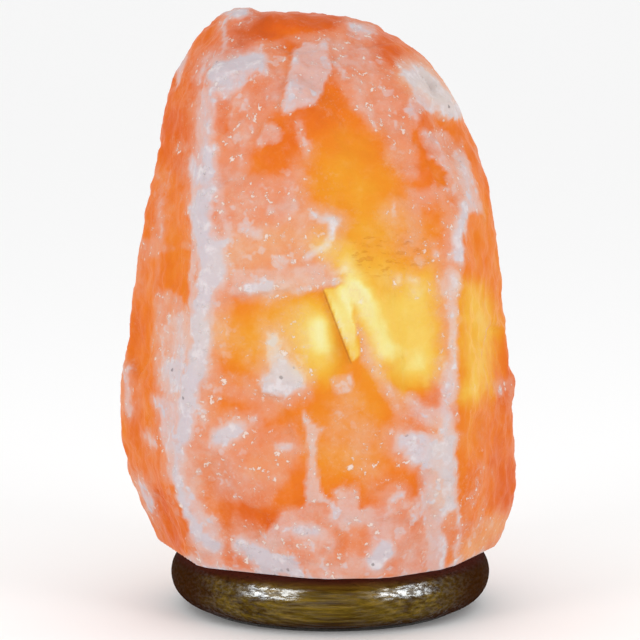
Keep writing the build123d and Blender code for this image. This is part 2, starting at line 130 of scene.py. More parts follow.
def ease(low, high, x):
    """0 below low, 1 above high, and a smooth climb between them."""
    t = np.clip((x - low) / (high - low), 0, 1)
    return t * t * (3 - 2 * t)


def gap_to(pixel, a, b):
    """How far these pixels of the photograph are from the straight line between two others."""
    run = b - a
    share = np.clip((pixel - a) @ run / max(run @ run, 1e-9), 0, 1)
    return np.linalg.norm(pixel - a - share[:, None] * run, axis=1)


def stroke(pixel, line, width, soft=1.0):
    """1 within this many pixels of a line drawn over the photograph, and 0 outside, with a soft rim."""
    ends = line if len(line) > 1 else line * 2
    runs = zip(np.array(ends[:-1], float), np.array(ends[1:], float))
    nearest = np.min([gap_to(pixel, a, b) for a, b in runs], axis=0)
    return ease(-width * (1 + soft), -width * (1 - soft), -nearest)


def patch(pixel, corners, soft):
    """1 inside an outline drawn over the photograph and 0 outside, with a rim this many pixels soft."""
    inside = np.zeros(len(pixel), bool)
    nearest = np.full(len(pixel), np.inf)
    ring = np.array(corners, float)
    for a, b in zip(ring, np.roll(ring, -1, axis=0)):
        nearest = np.minimum(nearest, gap_to(pixel, a, b))
        crosses = (a[1] > pixel[:, 1]) != (b[1] > pixel[:, 1])
        fall = b[1] - a[1] or 1e-9
        inside ^= crosses & (pixel[:, 0] < a[0] + (pixel[:, 1] - a[1]) * (b[0] - a[0]) / fall)
    return ease(-soft, soft, np.where(inside, nearest, -nearest))


def lumps(place, size, seed, octaves=4):
    """Smooth noise from -1 to 1 with lumps of this many metres. Each octave is half as large and high."""
    shift = Vector((seed * 3.1, seed * 7.7, seed * 1.3))
    return np.array([noise.fractal(Vector(p) / size + shift, 1.0, 2.0, octaves) for p in place])


def set_values(piece, name, values):
    """Keep a value for each point of a mesh under this name, for the materials to read."""
    attribute = piece.data.attributes.new(name, "FLOAT", "POINT")
    attribute.data.foreach_set("value", values.astype(np.float32))


def move_points(piece, place):
    """Put a mesh's points here. Returns their places and their new outward directions."""
    piece.data.vertices.foreach_set("co", place.ravel())
    piece.data.update()
    return points_of(piece)


def smoothed_points(piece, iterations):
    """Where this many rounds of smoothing would put a mesh's points. The mesh stays as it is."""
    soft = piece.copy()
    soft.data = piece.data.copy()
    bpy.context.scene.collection.objects.link(soft)
    finish_with(soft, "SMOOTH", factor=0.5, iterations=iterations)
    soft_place, _ = points_of(soft)
    bpy.data.objects.remove(soft)
    return soft_place


crystal_voxel = 0.0013
crystal = own_copy("salt_crystal", "crystal_block")
finish_with(crystal, "REMESH", mode="VOXEL", voxel_size=crystal_voxel, use_smooth_shade=True)
finish_with(crystal, "SMOOTH", factor=0.5, iterations=3)

# Two blows were dulled again by handling: the knob at the right and the foot of the flake.
dulled = [
    [(402, 62), (424, 58), (448, 78), (466, 108), (454, 124), (424, 112), (404, 92)],
    [(276, 56), (342, 56), (338, 106), (278, 122)],
]
place, _ = points_of(crystal)
pixel = in_photo(place)
worn = np.maximum.reduce([patch(pixel, corners, soft=6) for corners in dulled]) * (place[:, 1] < 0)
worn_place = place + (smoothed_points(crystal, 60) - place) * worn[:, None]
place, out = move_points(crystal, worn_place)

# Only the hewn outside is worked on: the bored cavity and the sawn foot keep their shape.
foot_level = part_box("salt_crystal")[0].z
foot_band = 0.005
cavity_reach = 0.0265
cavity_top = 0.139
cavity_band = 0.006
radius = np.hypot(place[:, 0], place[:, 1])
hewn = ease(cavity_reach, cavity_reach + cavity_band, radius)
hewn = np.maximum(hewn, ease(cavity_top, cavity_top + cavity_band, place[:, 2]))
hewn *= ease(foot_level, foot_level + foot_band, place[:, 2])

# 1 where the photograph shows the crystal, and 0 on the sides that face away from its camera.
front_reach = 0.03
towards_view = np.array(camera_place) - place
towards_view /= np.linalg.norm(towards_view, axis=1)[:, None]
facing = np.einsum("ij,ij->i", towards_view, out)
shown = ease(-0.2, 0.1, facing) * (place[:, 1] < front_reach)

# Outlines over the photograph that more than one list below needs.
flake_outline = [
    (295, 46), (326, 41), (333, 69), (325, 81), (318, 102),
    (302, 107), (283, 114), (280, 105), (286, 82), (293, 57),
]
triangle_outline = [(256, 146), (262, 122), (270, 119), (280, 130), (281, 145)]
crack_facet_outline = [(324, 289), (342, 285), (351, 300), (357, 330), (359, 356), (352, 362)]
boot_outline = [
    (263, 329), (278, 332), (281, 350), (295, 362), (307, 373),
    (308, 389), (287, 397), (262, 391), (268, 366),
]
upright_outline = [
    (302, 410), (310, 421), (324, 429), (316, 445),
    (320, 482), (331, 502), (308, 506), (306, 437),
]
round_outline = [
    (396, 436), (410, 428), (428, 432), (454, 436),
    (455, 478), (436, 476), (420, 466), (400, 462),
]
recess_outline = [(426, 158), (436, 160), (447, 172), (447, 187), (436, 180)]
slot_outline = [(219, 98), (231, 96), (230, 132), (220, 134)]
pink_spot_outline = [(329, 376), (352, 372), (354, 392), (334, 396)]
yellow_outline = [
    (346, 268), (384, 262), (428, 268), (440, 300), (444, 350),
    (432, 376), (404, 396), (386, 352), (366, 302),
]

# Finer forms than the block's own faces: a line over the photograph, its half width in pixels and
# its height in mm.
ridge_forms = {
    "left_knob": ([(210, 72), (232, 64), (260, 66)], 11, 1.0),
    "front_ridge": ([(214, 95), (206, 150), (204, 215), (214, 262), (203, 300), (196, 380)], 9, 1.3),
    "front_ridge_foot": ([(192, 380), (182, 440), (183, 500), (208, 545)], 8, 1.3),
    "beside_front_ridge": ([(178, 150), (174, 230)], 12, -0.9),
    "right_knob": ([(410, 76), (432, 90), (450, 112)], 10, 1.0),
    "right_ridge": ([(454, 156), (470, 195), (462, 250), (456, 300), (457, 360)], 8, 1.2),
    "right_ridge_foot": ([(452, 370), (446, 420), (444, 520)], 8, 1.0),
    "curl": ([(314, 219), (335, 222), (328, 244), (308, 257)], 5, 1.0),
    "cream_band": ([(350, 288), (372, 322), (394, 372)], 6, 0.7),
    "left_of_crack": ([(316, 300), (340, 362)], 8, -1.2),
    "crown_left": ([(228, 12), (246, 12)], 8, 1.0),
    "crown_notch": ([(262, 20), (268, 32)], 6, -1.4),
    "crown_right": ([(348, 28), (372, 34)], 9, 1.0),
    "foot_patch": ([(374, 560), (388, 550)], 11, 1.0),
    "white_blob": ([(250, 286), (272, 288)], 10, 0.8),
    "left_edge_low": ([(128, 368), (130, 410)], 6, 0.8),
}
# Plates thinner than the block's own: their outline over the photograph and their height in mm.
slab_forms = {
    "flake": (flake_outline, 1.3),
    "triangle": (triangle_outline, 0.8),
    "facet_by_crack": (crack_facet_outline, 0.9),
    "boot": (boot_outline, 0.7),
    "upright_band": (upright_outline, 0.8),
    "round_patch": (round_outline, 0.7),
    "recess": (recess_outline, -1.6),
    "slot": (slot_outline, -1.0),
    "spiky": ([(236, 540), (268, 545), (300, 552), (306, 576), (268, 574), (254, 560)], 0.9),
    "pink_spot": (pink_spot_outline, 0.5),
    "lower_step": ([(262, 532), (300, 506), (360, 504), (424, 500),
                    (428, 520), (340, 520), (300, 530), (268, 548)], 0.8),
}
pixel = in_photo(place)
rise = np.zeros(len(place))
for line, width, height in ridge_forms.values():
    rise += height * stroke(pixel, line, width, soft=0.8)
for corners, height in slab_forms.values():
    rise += height * patch(pixel, corners, soft=2.2)
rise *= shown

# Hammer-split relief on every side, in mm: swells, scallops with a sharp rim between them, then a grain.
rise += 0.5 * lumps(place, 0.020, seed=3, octaves=2)
scallop_size = 0.013
scallops = np.array([noise.voronoi(Vector(p) / scallop_size)[0][:2] for p in place])
edge_of_scallop = scallops[:, 1] - scallops[:, 0]
rise += 0.75 * (0.6 - ease(0.0, 0.5, edge_of_scallop))
rise += 0.42 * lumps(place, 0.0065, seed=5, octaves=3)
rise += 0.26 * lumps(place, 0.0028, seed=9, octaves=3)
millimetre = 0.001
place, out = move_points(crystal, place + out * (rise * hewn * millimetre)[:, None])

# How far each point stands out from a smoothed copy of the block tells where the blows bruised it.
proud = np.einsum("ij,ij->i", place - smoothed_points(crystal, 40), out) / millimetre

# No bruise has a ruled edge, so what is drawn over the photograph is bent a little by noise, except
# beside the crack. Each noise has its lumps' size, how many pixels it bends by, and two seeds.
crack_line = [(323, 290), (351, 363)]
calm_width = 26
pixel = in_photo(place)
bend = np.zeros((len(place), 2))
for size, reach, seeds in ((0.012, 4, (41, 47)), (0.004, 2.5, (43, 49))):
    bend += reach * np.stack([lumps(place, size, seed) for seed in seeds], axis=1)
bent = pixel + bend * (1 - 0.85 * stroke(pixel, crack_line, calm_width))[:, None]

# Faces that are bruised all over, from salmon (0.3) by pink (0.45) and lilac (0.6) to white (0.8).
# Their outline over the photograph, how many pixels soft its rim is, and how bruised they are.
blushes = {
    "flake": (flake_outline, 2.5, 0.62),
    "left_knob": ([(207, 64), (222, 56), (262, 56), (266, 70),
                   (250, 78), (240, 92), (222, 96), (205, 92)], 4, 0.8),
    "right_knob": ([(406, 68), (420, 66), (440, 82), (456, 100),
                    (458, 118), (440, 116), (424, 112), (410, 96)], 3, 0.74),
    "triangle": (triangle_outline, 2.5, 0.5),
    "brow": ([(285, 40), (340, 26), (380, 34), (398, 60), (410, 100),
              (412, 130), (372, 128), (338, 96), (330, 60)], 8, 0.37),
    "left_brow": ([(250, 40), (282, 32), (290, 60), (282, 100),
                   (262, 128), (238, 142), (232, 110), (262, 80)], 10, 0.36),
    "under_knob": ([(205, 88), (250, 82), (262, 120), (250, 170), (226, 180), (218, 140)], 10, 0.42),
    "shoulder": ([(190, 150), (240, 160), (262, 200), (262, 262),
                  (226, 296), (196, 296), (190, 230)], 12, 0.42),
    "upper_middle": ([(225, 180), (300, 170), (318, 215), (335, 262),
                      (300, 290), (232, 292), (222, 240)], 12, 0.38),
    "chain": ([(283, 190), (302, 186), (310, 205), (292, 222), (276, 232), (268, 210)], 5, 0.44),
    "right_face": ([(419, 131), (446, 128), (462, 155), (478, 190),
                    (470, 210), (448, 200), (430, 160)], 5, 0.46),
    "dots": ([(380, 123), (416, 120), (420, 176), (392, 180)], 8, 0.32),
    "cluster": ([(404, 188), (446, 186), (450, 214), (410, 216)], 6, 0.4),
    "knob_low_left": ([(408, 92), (424, 104), (418, 128), (404, 116)], 4, 0.52),
    "crown_right": ([(340, 20), (378, 24), (386, 46), (350, 42)], 5, 0.5),
    "left_edge_high": ([(172, 45), (198, 34), (190, 60), (176, 90)], 3, 0.76),
    "left_streaks": ([(158, 165), (180, 165), (176, 250), (148, 250)], 8, 0.3),
    "left_strip": ([(184, 200), (198, 200), (200, 310), (184, 312)], 4, 0.56),
    "left_pink": ([(153, 291), (186, 288), (192, 354), (186, 400), (158, 400), (152, 340)], 6, 0.4),
    "left_lilac": ([(160, 356), (190, 352), (190, 396), (160, 400)], 8, 0.72),
    "left_low": ([(152, 396), (188, 396), (184, 470), (160, 480)], 8, 0.68),
    "over_amber": ([(228, 266), (330, 260), (346, 284), (280, 302), (250, 304), (226, 296)], 7, 0.54),
    "boot_halo": ([(256, 322), (285, 325), (300, 355), (318, 372),
                   (316, 400), (285, 408), (256, 400)], 9, 0.4),
    "boot": (boot_outline, 5, 0.74),
    "pink_spot": (pink_spot_outline, 4, 0.42),
    "sliver": ([(354, 319), (366, 330), (384, 366), (398, 392),
                (410, 420), (396, 424), (382, 392), (362, 360)], 6, 0.44),
    "diagonal": ([(398, 388), (416, 398), (452, 412), (456, 436), (430, 432), (404, 412)], 8, 0.56),
    "round_patch": (round_outline, 8, 0.82),
    "upright_band": (upright_outline, 3, 0.58),
    "lower_left": ([(206, 440), (300, 420), (304, 470), (270, 500), (215, 500)], 12, 0.3),
    "foot": ([(250, 540), (264, 530), (282, 514), (302, 506), (330, 500),
              (360, 508), (425, 496), (430, 572), (330, 582), (262, 576)], 3, 0.46),
    "spiky": ([(234, 541), (256, 546), (276, 552), (300, 562),
               (306, 577), (262, 577), (252, 562)], 2.5, 0.84),
    "right_waist": ([(432, 276), (458, 268), (460, 320), (446, 318)], 9, 0.5),
    "right_knee": ([(434, 376), (459, 356), (459, 432), (438, 430)], 9, 0.58),
    "left_flank": ([(140, 236), (160, 240), (158, 300), (136, 300)], 6, 0.3),
    "amber": ([(380, 190), (440, 190), (444, 250), (400, 250)], 12, 0.32),
    "mid_patch": ([(334, 488), (356, 486), (358, 510), (338, 515)], 4, 0.48),
    "right_low": ([(416, 430), (462, 430), (462, 578), (424, 578), (420, 500)], 7, 0.64),
    "right_foot": ([(462, 528), (512, 500), (506, 545), (462, 572)], 9, 0.3),
    "left_foot": ([(188, 500), (210, 540), (240, 560), (240, 575), (200, 565), (186, 540)], 9, 0.52),
    "fan": ([(180, 470), (196, 490), (220, 528), (216, 548), (196, 536), (180, 506)], 6, 0.66),
}
# Clear places between them: their outline, how soft its rim is, and how clear they are.
windows = {
    "slot": (slot_outline, 3, 0.9),
    "crown": ([(226, 20), (262, 14), (338, 14), (330, 26), (280, 34), (250, 56), (228, 56)], 5, 0.95),
    "left_band": ([(192, 40), (214, 34), (212, 62), (190, 92), (182, 110), (180, 80)], 5, 0.8),
    "left_high": ([(160, 110), (186, 100), (192, 150), (184, 168), (158, 168)], 7, 0.95),
    "amber_face": ([(209, 300), (240, 298), (262, 304), (268, 350),
                    (258, 370), (212, 370), (206, 350)], 9, 0.6),
    "over_chain": ([(292, 178), (318, 172), (322, 208), (304, 214), (296, 204)], 5, 0.6),
    "foot_middle": ([(334, 528), (364, 526), (366, 552), (338, 556)], 6, 0.5),
    "beside_right_ridge": ([(420, 204), (440, 202), (446, 236), (424, 240)], 6, 0.6),
    "amber_glow": ([(284, 300), (322, 292), (350, 362), (330, 372),
                    (312, 370), (296, 352), (284, 330)], 4, 0.95),
    "crack_facet": (crack_facet_outline, 2, 0.95),
    "yellow_face": (yellow_outline, 5, 0.9),
    "over_middle": ([(300, 160), (350, 140), (400, 170), (402, 232),
                     (344, 262), (340, 220), (318, 206)], 8, 0.85),
    "right_slot": ([(412, 131), (420, 131), (418, 145), (412, 145)], 2, 0.8),
    "high_orange": ([(376, 38), (398, 40), (414, 64), (400, 76), (384, 60)], 4, 0.85),
    "recess": (recess_outline, 2.5, 0.95),
    "left_stripe": ([(137, 262), (156, 258), (154, 358), (140, 380), (132, 340)], 5, 0.8),
    "left_orange": ([(130, 412), (150, 400), (170, 470), (172, 500), (150, 470), (136, 430)], 5, 0.7),
    "low_hollow": ([(224, 506), (258, 502), (274, 510), (262, 532), (238, 534)], 5, 0.85),
    "under_hollow": ([(232, 545), (250, 552), (262, 568), (240, 568), (222, 560)], 4, 0.8),
    "below_middle": ([(324, 398), (394, 400), (402, 430), (392, 470), (330, 480), (326, 440)], 14, 0.5),
}
# The same for clean splits that end a bruise at a crisp edge.
splits = {
    "wedge": ([(164, 248), (190, 251), (191, 278), (189, 306), (176, 294), (169, 271)], 2, 0.95),
    "right_strip": ([(466, 214), (480, 214), (488, 300), (491, 420),
                     (490, 515), (460, 522), (458, 400), (461, 300)], 2, 0.85),
    "right_band": ([(456, 118), (464, 120), (488, 200), (492, 250),
                    (484, 250), (480, 200), (470, 160)], 2, 0.9),
    "foot_wedge": ([(155, 483), (172, 484), (187, 520), (188, 555), (166, 545)], 3, 0.9),
    "notch": ([(440, 528), (446, 516), (455, 512), (458, 534),
               (452, 546), (456, 560), (446, 566), (447, 546)], 3, 0.75),
    "left_flank": ([(160, 150), (188, 150), (190, 206), (189, 246), (162, 246)], 2.5, 0.6),
    "crack_facet": (crack_facet_outline, 2, 0.95),
    "under_right_knob": ([(434, 120), (458, 122), (462, 136), (440, 132)], 2, 0.8),
    "right_flank_low": ([(484, 398), (508, 392), (512, 470), (488, 484)], 6, 0.8),
    "recess": (recess_outline, 2, 0.9),
}
# White bruises: a line over the photograph, its half width in pixels and how white it is.
bruises = {
    "crown_left": ([(228, 11), (243, 12)], 7, 0.85),
    "crown_streak": ([(226, 20), (220, 56)], 4, 0.56),
    "left_knob": ([(216, 68), (238, 65), (256, 63)], 11, 1.0),
    "left_knob_side": ([(213, 74), (226, 84)], 12, 0.95),
    "left_knob_finger": ([(262, 58), (264, 74)], 4, 0.75),
    "left_knob_drip": ([(246, 70), (238, 84)], 6, 0.8),
    "ridge_high": ([(209, 94), (206, 120), (202, 146)], 12, 0.68),
    "ridge_shoulder": ([(194, 168), (212, 190)], 16, 0.8),
    "ridge_haze": ([(200, 160), (206, 230), (212, 280), (206, 330),
                    (198, 380), (188, 440), (184, 500)], 22, 0.5),
    "ridge_lap_high": ([(222, 200), (228, 236)], 9, 0.6),
    "ridge_lap_left": ([(186, 318), (180, 352), (184, 372)], 12, 0.64),
    "ridge_lap_low": ([(196, 400), (204, 424)], 7, 0.56),
    "ridge_lap_foot": ([(170, 452), (172, 476)], 7, 0.6),
    "ridge_neck": ([(205, 150), (208, 172), (204, 200)], 12, 0.82),
    "ridge_middle": ([(204, 196), (200, 220), (206, 245), (213, 258)], 14, 0.98),
    "ridge_core": ([(214, 246), (214, 276)], 15, 1.0),
    "ridge_waist": ([(206, 286), (203, 304)], 10, 0.94),
    "ridge_low": ([(204, 306), (201, 340), (196, 375)], 13, 0.98),
    "ridge_knee": ([(192, 380), (184, 420), (182, 440)], 12, 0.94),
    "ridge_shin": ([(181, 440), (178, 475), (184, 505)], 9, 0.84),
    "ridge_foot": ([(184, 507), (196, 528), (214, 548)], 9, 0.9),
    "blotch": ([(244, 226), (256, 233)], 8, 0.74),
    "spot": ([(271, 209)], 6, 0.62),
    "spot_low": ([(274, 256), (284, 261)], 5, 0.66),
    "white_blob": ([(250, 286), (270, 288)], 10, 0.84),
    "blob_tail": ([(272, 286), (296, 280)], 6, 0.58),
    "band_over_amber": ([(302, 281), (320, 276), (346, 270)], 5, 0.56),
    "curl_top": ([(316, 218), (336, 222)], 5, 0.72),
    "curl_side": ([(332, 226), (326, 246), (310, 256)], 5, 0.7),
    "lower_left_patch": ([(220, 436), (236, 430)], 12, 0.88),
    "lower_left_dot": ([(253, 421)], 5, 0.75),
    "lower_dot": ([(280, 448), (290, 449)], 4, 0.85),
    "spiky_white": ([(240, 544), (256, 552), (272, 562), (290, 570)], 11, 0.88),
    "foot_white": ([(300, 531), (316, 532)], 12, 0.86),
    "foot_patch": ([(374, 562), (386, 550)], 11, 0.88),
    "small_patch": ([(392, 502), (400, 496)], 5, 0.75),
    "right_knob": ([(414, 74), (430, 86), (444, 98), (452, 112)], 11, 1.0),
    "right_knob_side": ([(408, 72), (414, 86)], 7, 0.85),
    "crown_right": ([(352, 26), (370, 32)], 6, 0.72),
    "brow_streak": ([(336, 60), (345, 76)], 5, 0.66),
    "right_high": ([(458, 158), (466, 180), (472, 206)], 10, 0.7),
    "right_middle": ([(462, 206), (459, 258)], 8, 0.86),
    "right_waist": ([(452, 278), (454, 312)], 9, 0.7),
    "right_thin": ([(455, 318), (455, 366)], 6, 0.64),
    "right_knee": ([(450, 370), (446, 410), (448, 440)], 9, 0.76),
    "round_core": ([(404, 444), (420, 450)], 12, 0.86),
    "round_right": ([(440, 452), (444, 476)], 10, 0.82),
    "right_shin": ([(450, 440), (450, 516), (446, 560)], 10, 0.84),
    "rim": ([(190, 560), (240, 576), (320, 584), (400, 583), (450, 573), (486, 556)], 7, 0.66),
    "fleck_high": ([(502, 389), (502, 402)], 2.5, 0.8),
    "fleck_low": ([(496, 452), (493, 464)], 3, 0.9),
    "left_edge": ([(127, 370), (130, 408)], 5, 0.6),
    "left_foot_edge": ([(144, 484), (152, 508)], 5, 0.7),
    "speck_trail": ([(300, 126), (308, 150)], 5, 0.44),
    "dash": ([(397, 204), (395, 218)], 3, 0.6),
    "yellow_spot_high": ([(420, 260), (422, 262)], 5, 0.52),
    "yellow_spot_right": ([(438, 254)], 5, 0.55),
    "yellow_spot_left": ([(395, 279)], 6, 0.5),
    "yellow_spot_low": ([(411, 281)], 6, 0.5),
    "haze_amber": ([(296, 316), (302, 344)], 14, 0.2),
    "haze_face": ([(224, 322), (236, 348)], 16, 0.18),
    "haze_under_face": ([(222, 386), (250, 394), (270, 408)], 15, 0.3),
    "haze_low": ([(364, 462), (384, 476)], 16, 0.2),
    "haze_flank": ([(144, 262), (142, 290)], 9, 0.2),
    "haze_below": ([(346, 412), (360, 450)], 24, 0.22),
    "haze_cream": ([(354, 296), (370, 330), (388, 366)], 9, 0.22),
    "haze_high": ([(392, 214), (408, 244)], 14, 0.24),
    "streak_left_a": ([(168, 172), (170, 190)], 3, 0.55),
    "streak_left_b": ([(160, 228), (164, 246)], 4, 0.5),
    "streak_left_c": ([(147, 430), (152, 446)], 4, 0.55),
}
# How warm the bulb's painted light makes each place: a line, its half width in pixels
# and how much warmer it is.
lights = {
    "hot_spot": ([(320, 326), (323, 346)], 9, 0.22),
    "hot_glow": ([(317, 322), (321, 362)], 20, 0.3),
    "cream_band": ([(352, 286), (370, 316), (386, 350)], 11, 0.36),
    "cream_head": ([(352, 290), (360, 294)], 7, 0.2),
    "beside_sliver": ([(352, 300), (366, 340), (382, 372)], 13, 0.16),
    "amber_face": ([(226, 330), (262, 340)], 30, 0.12),
    "amber_right": ([(294, 310), (300, 345)], 30, 0.16),
    "under_middle": ([(350, 410), (352, 446)], 34, 0.14),
    "over_middle": ([(345, 175), (368, 215)], 36, 0.2),
    "yellow_tip": ([(324, 247), (344, 262)], 14, 0.26),
    "mid_amber": ([(352, 252), (420, 248)], 24, 0.1),
    "crown": ([(238, 38), (256, 24)], 13, -0.14),
    "right_knob": ([(414, 74), (430, 86), (448, 104)], 15, 0.2),
    "right_foot": ([(466, 552), (500, 524)], 12, 0.12),
    "flank_high": ([(174, 116), (172, 160)], 12, -0.04),
    "crown_edge": ([(268, 18), (335, 20)], 7, -0.08),
    "right_edge": ([(504, 350), (506, 500)], 16, -0.1),
    "left_edge": ([(140, 250), (134, 440)], 8, -0.03),
    "low_hollow": ([(236, 522), (262, 516)], 14, -0.06),
    "under_hollow": ([(236, 560), (252, 564)], 9, -0.05),
    "foot_wedge": ([(166, 500), (178, 540)], 12, -0.03),
    "recess": ([(432, 166), (442, 180)], 7, 0.02),
    "slot": ([(225, 104), (225, 130)], 7, -0.06),
    "high_orange": ([(384, 44), (412, 66)], 12, -0.06),
    "yellow_foot": ([(412, 372), (432, 366)], 16, 0.16),
    "over_blob": ([(236, 256), (300, 238)], 18, 0.12),
    "right_shin": ([(440, 430), (444, 500)], 12, 0.12),
    "under_left_foot": ([(156, 500), (170, 540)], 10, -0.06),
    "low_left_face": ([(222, 476), (250, 500)], 16, -0.05),
    "sunlit_face": ([(222, 330), (250, 352)], 18, 0.06),
}
# The same over whole places: their outline, how soft its rim is, and how much warmer they are.
glows = {
    "crack_facet": (crack_facet_outline, 2, 0.4),
    "right_strip": ([(460, 280), (482, 284), (497, 330), (494, 384), (482, 400), (460, 402)], 15, 0.36),
    "right_strip_low": ([(460, 390), (480, 390), (482, 450), (462, 470)], 16, 0.1),
    "yellow_face": (yellow_outline, 20, 0.3),
    "yellow_core": ([(372, 296), (424, 282), (440, 330), (424, 376), (396, 356)], 18, 0.15),
}

# Each white bruise has a halo, this many pixels wider and this much less white.
halo_width = 7
halo_loss = 0.34
bruise = np.zeros(len(place))
for corners, soft, amount in blushes.values():
    bruise = np.maximum(bruise, amount * patch(bent, corners, soft))
for corners, soft, amount in windows.values():
    bruise *= 1 - amount * patch(bent, corners, soft)
for line, width, amount in bruises.values():
    bruise = np.maximum(bruise, amount * stroke(bent, line, width))
    bruise = np.maximum(bruise, (amount - halo_loss) * stroke(bent, line, width + halo_width))
for corners, soft, amount in splits.values():
    bruise *= 1 - amount * patch(bent, corners, soft)

# The photograph's bruises where it shows the crystal, and on every other side veins, blushes and ridges.
vein_stretch = np.array([1.2, 1.2, 0.7])
veins = lumps(place * vein_stretch, 0.026, seed=21)
dappled = ease(0.16, 0.7, veins)
blush_all_round = 0.42 * ease(-0.1, 0.2, lumps(place, 0.034, seed=27, octaves=3))
bruised_ridge = ease(0.35, 1.3, proud)
all_round = np.clip(np.maximum.reduce([0.95 * dappled, bruised_ridge, blush_all_round]), 0, 1)
by_hand = np.clip(0.04 + bruise + 0.3 * bruised_ridge + 0.12 * ease(0.1, 0.7, veins), 0, 1)
frost = all_round + (by_hand - all_round) * shown

# The bulb's light is painted warmest near it, a little further up and down than to the sides.
bulb_middle = np.array([0, 0, 0.100])
bulb_shape = np.array([1, 1, 0.75])
from_bulb = np.linalg.norm((place - bulb_middle) * bulb_shape, axis=1)
bulb_glow_all_round = 0.24 + 0.36 * (1 - ease(0.052, 0.088, from_bulb))
bulb_glow_all_round += 0.22 * lumps(place, 0.04, seed=33, octaves=2)
bulb_glow_drawn = 0.24 + 0.14 * (1 - ease(0.055, 0.11, from_bulb))
for line, width, amount in lights.values():
    bulb_glow_drawn += amount * stroke(bent, line, width, soft=0.9)
for corners, soft, amount in glows.values():
    bulb_glow_drawn += amount * patch(bent, corners, soft)
bulb_glow = bulb_glow_all_round + (bulb_glow_drawn - bulb_glow_all_round) * shown

# The bore, which the bulb lights from close by, has an even painted glow
# and is bruised evenly by the drill.
bore_warmth = 0.8
bore_frost = 0.6
inside = (radius < cavity_reach) & (place[:, 2] < cavity_top) & (place[:, 2] > foot_level + millimetre)
bulb_glow[inside] = bore_warmth
frost[inside] = bore_frost
set_values(crystal, "bored", inside)
set_values(crystal, "frost", frost)
set_values(crystal, "warmth", np.clip(bulb_glow, 0, 1))

# Fine ripples cross the amber face, and a crack runs down through the place the bulb's painted light
# makes warmest. It fades out over a few pixels at either end, and its distance is kept up to crack_reach
# pixels.
ripple_outline = [(348, 244), (372, 232), (426, 230), (432, 262), (392, 276), (352, 274)]
set_values(crystal, "ripple", patch(bent, ripple_outline, soft=6) * shown)
crack_reach = 50
crack_end = 3
crack_top, crack_foot = np.array(crack_line, float)
crack_run = crack_foot - crack_top
crack_length = np.linalg.norm(crack_run)
down_crack = (pixel - crack_top) @ crack_run / crack_length
off_crack = (pixel - crack_top) @ np.array([-crack_run[1], crack_run[0]]) / crack_length
past_top = ease(-crack_end, crack_end, down_crack)
before_foot = ease(-crack_end, crack_end, crack_length - down_crack)
set_values(crystal, "beside_crack", np.clip(off_crack, -crack_reach, crack_reach))
set_values(crystal, "along_crack", past_top * before_foot * (shown > 0.5))


class Flow:
    """A socket in a material. A sum of flows and numbers adds its own Math nodes."""

    def __init__(self, tree, socket=None):
        self.tree = tree
        self.socket = socket

    def node(self, kind, inputs=None, out=0, stops=None, **settings):
        """Any other node: its settings and ramp stops first, then the values or flows of its sockets."""
        made = self.tree.nodes.new("ShaderNode" + kind)
        for name, value in settings.items():
            setattr(made, name, value)
        if stops:
            elements = made.color_ramp.elements
            elements[0].position, elements[0].color = stops[0]
            elements[1].position, elements[1].color = stops[-1]
            for position, colour in stops[1:-1]:
                elements.new(position).color = colour
        for name, value in (inputs or {}).items():
            if isinstance(value, Flow):
                self.tree.links.new(value.socket, made.inputs[name])
            else:
                made.inputs[name].default_value = value
        return Flow(self.tree, made.outputs[out])

    def maths(self, operation, first, second):
        return self.node("Math", {0: first, 1: second}, operation=operation)

    def __add__(self, other):
        return self.maths("ADD", self, other)

    def __radd__(self, other):
        return self.maths("ADD", other, self)

    def __sub__(self, other):
        return self.maths("SUBTRACT", self, other)

    def __rsub__(self, other):
        return self.maths("SUBTRACT", other, self)

    def __mul__(self, other):
        return self.maths("MULTIPLY", self, other)

    def __rmul__(self, other):
        return self.maths("MULTIPLY", other, self)

    def __abs__(self):
        return self.node("Math", {0: self}, operation="ABSOLUTE")

    def sine(self):
        return self.node("Math", {0: self}, operation="SINE")

    def step(self, low, high):
        """0 below low, 1 above high, and a smooth climb between them."""
        sockets = {"Value": self, "From Min": low, "From Max": high}
        return self.node("MapRange", sockets, interpolation_type="SMOOTHSTEP")

    def mix(self, colour, other):
        """One colour where this mask is 0 and the other where it is 1. Sockets 6, 7 and 2 hold colours."""
        return self.node("Mix", {0: self, 6: colour, 7: other}, out=2, data_type="RGBA")

    def ramp(self, *stops):
        """The colours of these stops along this value."""
        return self.node("ValToRGB", {"Fac": self}, stops=list(stops))

    def bump(self, strength=1.0):
        """A normal from this height in metres."""
        return self.node("Bump", {"Height": self, "Strength": strength, "Distance": 1.0})

    def scaled(self, share):
        """A colour made this many times as bright."""
        return self.node("VectorMath", {0: self, "Scale": share}, operation="SCALE")

    def moved(self, by):
        """A place moved by this much."""
        return self.node("VectorMath", {0: self, 1: by}, operation="ADD")

    def part(self, axis):
        """How far a place is along this axis."""
        return self.node("SeparateXYZ", {"Vector": self}, out=axis)


def paint(red, green, blue):
    """A colour as a screen gives it, 0 to 255, for a socket."""
    parts = [v / 255 for v in (red, green, blue)]
    return (*[p / 12.92 if p < 0.04045 else ((p + 0.055) / 1.055) ** 2.4 for p in parts], 1)


def new_finish(name, fixed):
    """A material with one principled shader. Returns where its nodes start, and its shader's inputs."""
    material = bpy.data.materials.new(name)
    material.use_nodes = True
    shader = material.node_tree.nodes["Principled BSDF"]
    for socket, value in fixed.items():
        shader.inputs[socket].default_value = value
    return material, Flow(material.node_tree), shader.inputs


def connect(start, inputs, **flows):
    """Lead flows into the shader's inputs, written with _ for each space."""
    for name, flow in flows.items():
        start.tree.links.new(flow.socket, inputs[name.replace("_", " ")])


def wear(piece, material):
    """Give a piece this one material."""
    piece.data.materials.clear()
    piece.data.materials.append(material)


